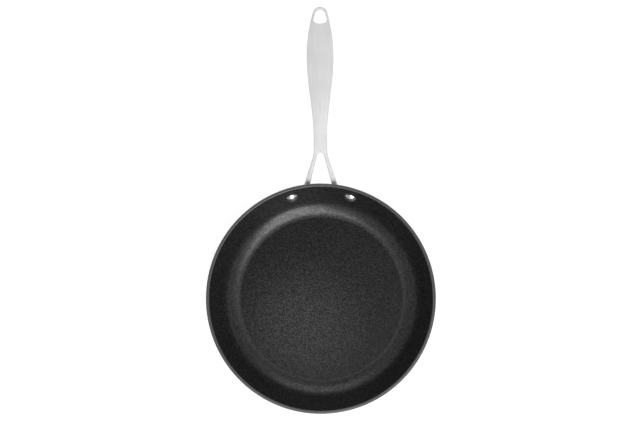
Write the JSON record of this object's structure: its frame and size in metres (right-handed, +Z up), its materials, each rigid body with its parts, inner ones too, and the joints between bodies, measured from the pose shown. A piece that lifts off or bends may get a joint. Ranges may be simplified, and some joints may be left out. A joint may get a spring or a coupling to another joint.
{
  "type": "omelette pan",
  "caption": "Shallow round nonstick omelette pan in hard-anodised aluminium, with a long forked stainless handle riveted to the wall and a hang hole at the end.",
  "frame": {"origin": "centre of the flat underside of the pan, on the surface that the pan stands on", "axes": "+Z up, +Y along the handle away from the pan, +X to the right when looking along the handle"},
  "size_m": [0.2598, 0.4558, 0.0851],
  "materials": {
    "hard_anodised_aluminium": "dark grey hard-anodised outside, fine-textured baked nonstick finish inside",
    "cast_stainless_steel": "cast stainless steel, satin polished lengthwise",
    "polished_rivet_steel": "polished stainless steel"
  },
  "bodies": {
    "root": {"pan_body": "hard_anodised_aluminium", "handle": "cast_stainless_steel", "rivet_left": "polished_rivet_steel", "rivet_right": "polished_rivet_steel"}
  },
  "joints": []
}
